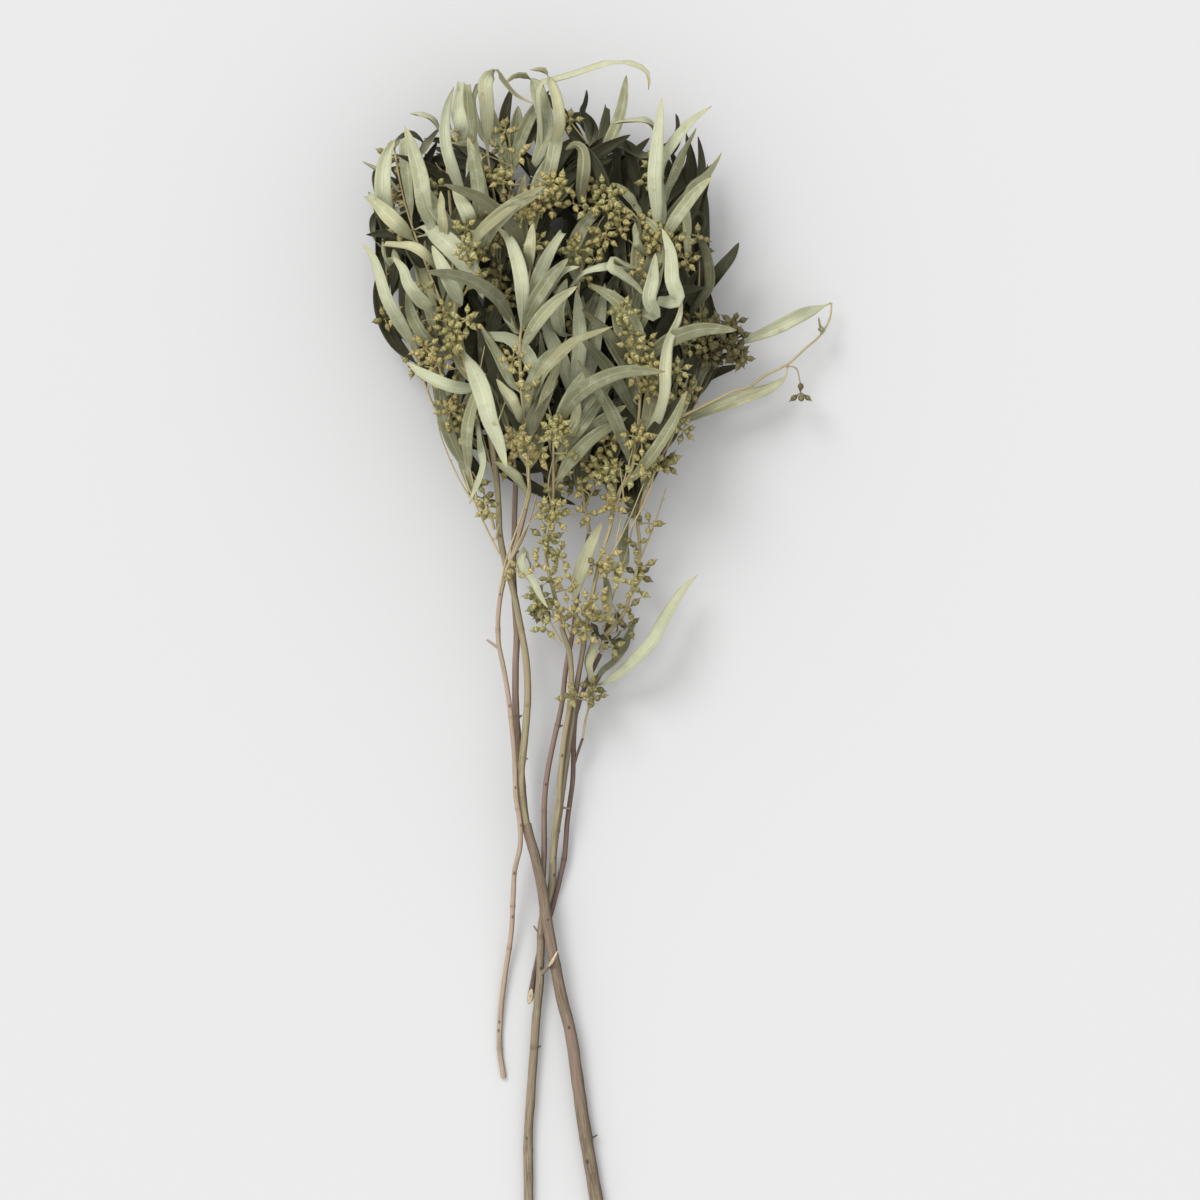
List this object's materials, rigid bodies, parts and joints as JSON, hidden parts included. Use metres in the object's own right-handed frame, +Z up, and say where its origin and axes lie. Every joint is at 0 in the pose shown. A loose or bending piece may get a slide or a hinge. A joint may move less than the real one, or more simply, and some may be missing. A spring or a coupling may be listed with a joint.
{
  "type": "dried eucalyptus bunch",
  "caption": "Loose bunch of dried seeded eucalyptus lying flat: bare cut stems that cross below a dense head of willow-shaped leaves and small seed cups.",
  "frame": {"origin": "under the middle of the bunch, on the surface that it lies on", "axes": "+Y along the bunch from the cut ends to the head, +Z up from the surface, +X to the right seen from above"},
  "size_m": [0.2846, 0.6953, 0.1015],
  "materials": {
    "bark_tan": "dry smooth bark, matt",
    "bark_olive": "dry smooth bark, matt",
    "bark_plum": "dry smooth bark, matt",
    "foliage": "dried sage green leaf with a waxy bloom, matt"
  },
  "bodies": {
    "root": {"stem_right": "bark_tan", "stem_centre": "bark_olive", "stem_left": "bark_olive", "stem_slanted": "bark_plum", "spray_left": "foliage", "spray_side": "foliage", "spray_back": "foliage", "spray_crown": "foliage", "spray_star": "foliage", "spray_centre": "foliage", "spray_column": "foliage", "spray_right": "foliage", "spray_low": "foliage"}
  },
  "joints": []
}
